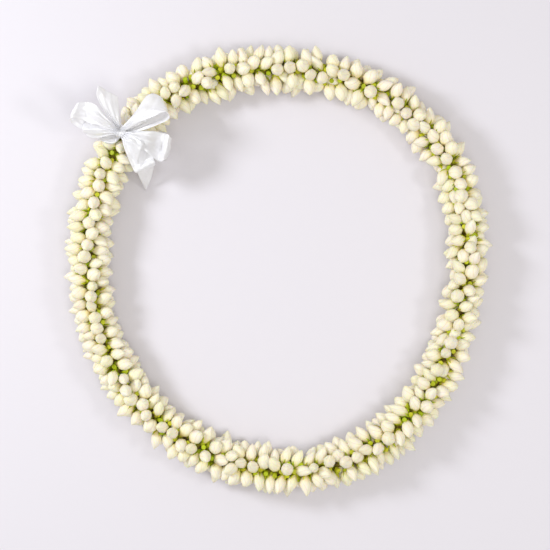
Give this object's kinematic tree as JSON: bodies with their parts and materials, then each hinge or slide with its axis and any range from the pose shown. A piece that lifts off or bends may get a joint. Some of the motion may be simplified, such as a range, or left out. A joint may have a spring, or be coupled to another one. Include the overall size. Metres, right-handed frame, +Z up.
{
  "type": "fresh flower lei",
  "caption": "Round rope lei of jasmine buds standing out all round a thread, closed in a ring and tied with a white satin ribbon bow, lying flat.",
  "frame": {"origin": "middle of the footprint, on the surface that the lei lies on", "axes": "+Z up, away from the surface; +Y along the longer way across the ring, with the bow at the upper left seen from above"},
  "size_m": [0.3434, 0.361, 0.0593],
  "materials": {
    "bud_petals": "soft waxy fresh petals, creamy ivory with a green tint at the tips and peach at the base",
    "calyx": "fresh yellow-green calyx lobes and stalks",
    "thread": "twisted cotton thread",
    "ribbon": "glossy white satin"
  },
  "bodies": {
    "root": {"thread": "thread", "buds_01": "bud_petals", "buds_02": "bud_petals", "buds_03": "bud_petals", "buds_04": "bud_petals", "buds_05": "bud_petals", "buds_06": "bud_petals", "buds_07": "bud_petals", "buds_08": "bud_petals", "buds_09": "bud_petals", "buds_10": "bud_petals", "buds_11": "bud_petals", "buds_12": "bud_petals", "buds_13": "bud_petals", "buds_14": "bud_petals", "buds_15": "bud_petals", "buds_16": "bud_petals", "buds_17": "bud_petals", "buds_18": "bud_petals", "buds_19": "bud_petals", "buds_20": "bud_petals", "buds_21": "bud_petals", "buds_22": "bud_petals", "ribbon_bow": "ribbon"}
  },
  "joints": []
}
